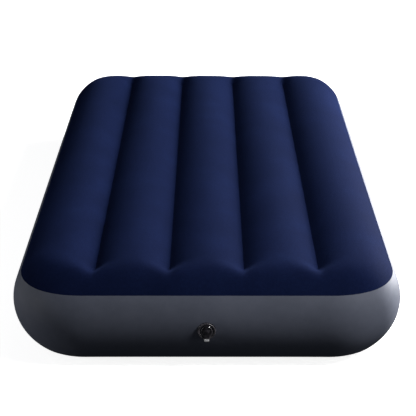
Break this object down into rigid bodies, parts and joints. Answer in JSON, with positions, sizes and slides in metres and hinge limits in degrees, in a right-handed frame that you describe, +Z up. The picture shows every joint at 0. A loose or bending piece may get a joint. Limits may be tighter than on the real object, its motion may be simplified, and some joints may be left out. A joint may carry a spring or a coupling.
{
  "type": "air mattress",
  "caption": "Single inflated air mattress with a flocked, grooved top, a bulging smooth wall all round and a screw valve in its foot wall.",
  "frame": {"origin": "on the floor under the middle of the mattress, on the resting face of the base's middle chamber", "axes": "+Z up, +Y along the bed from the foot, which has the valve, to the head, +X across the bed"},
  "size_m": [0.99, 1.8606, 0.25],
  "materials": {
    "flocked_top": "navy flock, short upright fibre with a soft sheen",
    "wall_vinyl": "satin grey vinyl sheet",
    "base_vinyl": "matt grey vinyl sheet, finely embossed",
    "weld_strip": "plain vinyl strip",
    "beam_fibre": "curtain of upright polyester strands",
    "valve_soft": "glossy soft vinyl moulding",
    "valve_hard": "glossy hard plastic moulding",
    "gasket_rubber": "matt black rubber"
  },
  "bodies": {
    "envelope": {"base_sheet": "base_vinyl", "side_wall": "wall_vinyl", "beam_1_lower_strip": "weld_strip", "beam_1_web": "beam_fibre", "beam_2_lower_strip": "weld_strip", "beam_2_web": "beam_fibre", "beam_3_lower_strip": "weld_strip", "beam_3_web": "beam_fibre", "beam_4_lower_strip": "weld_strip", "beam_4_web": "beam_fibre"},
    "sleeping_surface": {"top_sheet": "flocked_top", "beam_1_upper_strip": "weld_strip", "beam_2_upper_strip": "weld_strip", "beam_3_upper_strip": "weld_strip", "beam_4_upper_strip": "weld_strip"},
    "valve_seat": {"valve_base": "valve_soft", "valve_threaded_insert": "valve_hard"},
    "valve_gasket": {"valve_collar_gasket": "gasket_rubber"},
    "valve_collar": {"valve_screw_collar": "valve_hard", "valve_nozzle_seat": "valve_soft", "valve_flap_pin": "valve_hard", "valve_plug_strap": "valve_soft", "valve_strap_anchor": "valve_soft"},
    "valve_flap": {"valve_check_flap": "valve_soft"},
    "valve_stopper": {"valve_plug": "valve_soft"}
  },
  "joints": [
    {"name": "deflate", "type": "slide", "parent": "envelope", "child": "sleeping_surface", "axis": [0, 0, -1], "range_m": [0, 0.1625], "stiffness_N_per_m": 8000, "springref_m": -0.005, "deforming": ["side_wall", "beam_1_web", "beam_2_web", "beam_3_web", "beam_4_web"]},
    {"name": "valve_drop", "type": "slide", "parent": "envelope", "child": "valve_seat", "axis": [0, 0, -1], "range_m": [0, 0.07671]},
    {"name": "collar_travel", "type": "slide", "parent": "valve_seat", "child": "valve_gasket", "axis": [0, -1, 0.0013], "range_m": [0, 0.00601]},
    {"name": "collar_turn", "type": "hinge", "parent": "valve_gasket", "child": "valve_collar", "pos_m": [0, -0.925, 0.118], "axis": [0, -1, 0.0013], "range_deg": [0, 540]},
    {"name": "flap_open", "type": "hinge", "parent": "valve_collar", "child": "valve_flap", "pos_m": [0, -0.91249, 0.12788], "axis": [1, 0, 0], "range_deg": [0, 50], "stiffness_Nm_per_rad": 0.0002, "springref_deg": -11.46},
    {"name": "plug_flip", "type": "hinge", "parent": "valve_collar", "child": "valve_stopper", "pos_m": [0, -0.93278, 0.13351], "axis": [-1, 0, 0], "range_deg": [0, 135], "deforming": ["valve_plug_strap"]}
  ],
  "couplings": [
    {"joint": "valve_drop", "follows": "deflate", "ratio": 0.472},
    {"joint": "collar_travel", "follows": "collar_turn", "m_per_rad": 0.00063662}
  ]
}
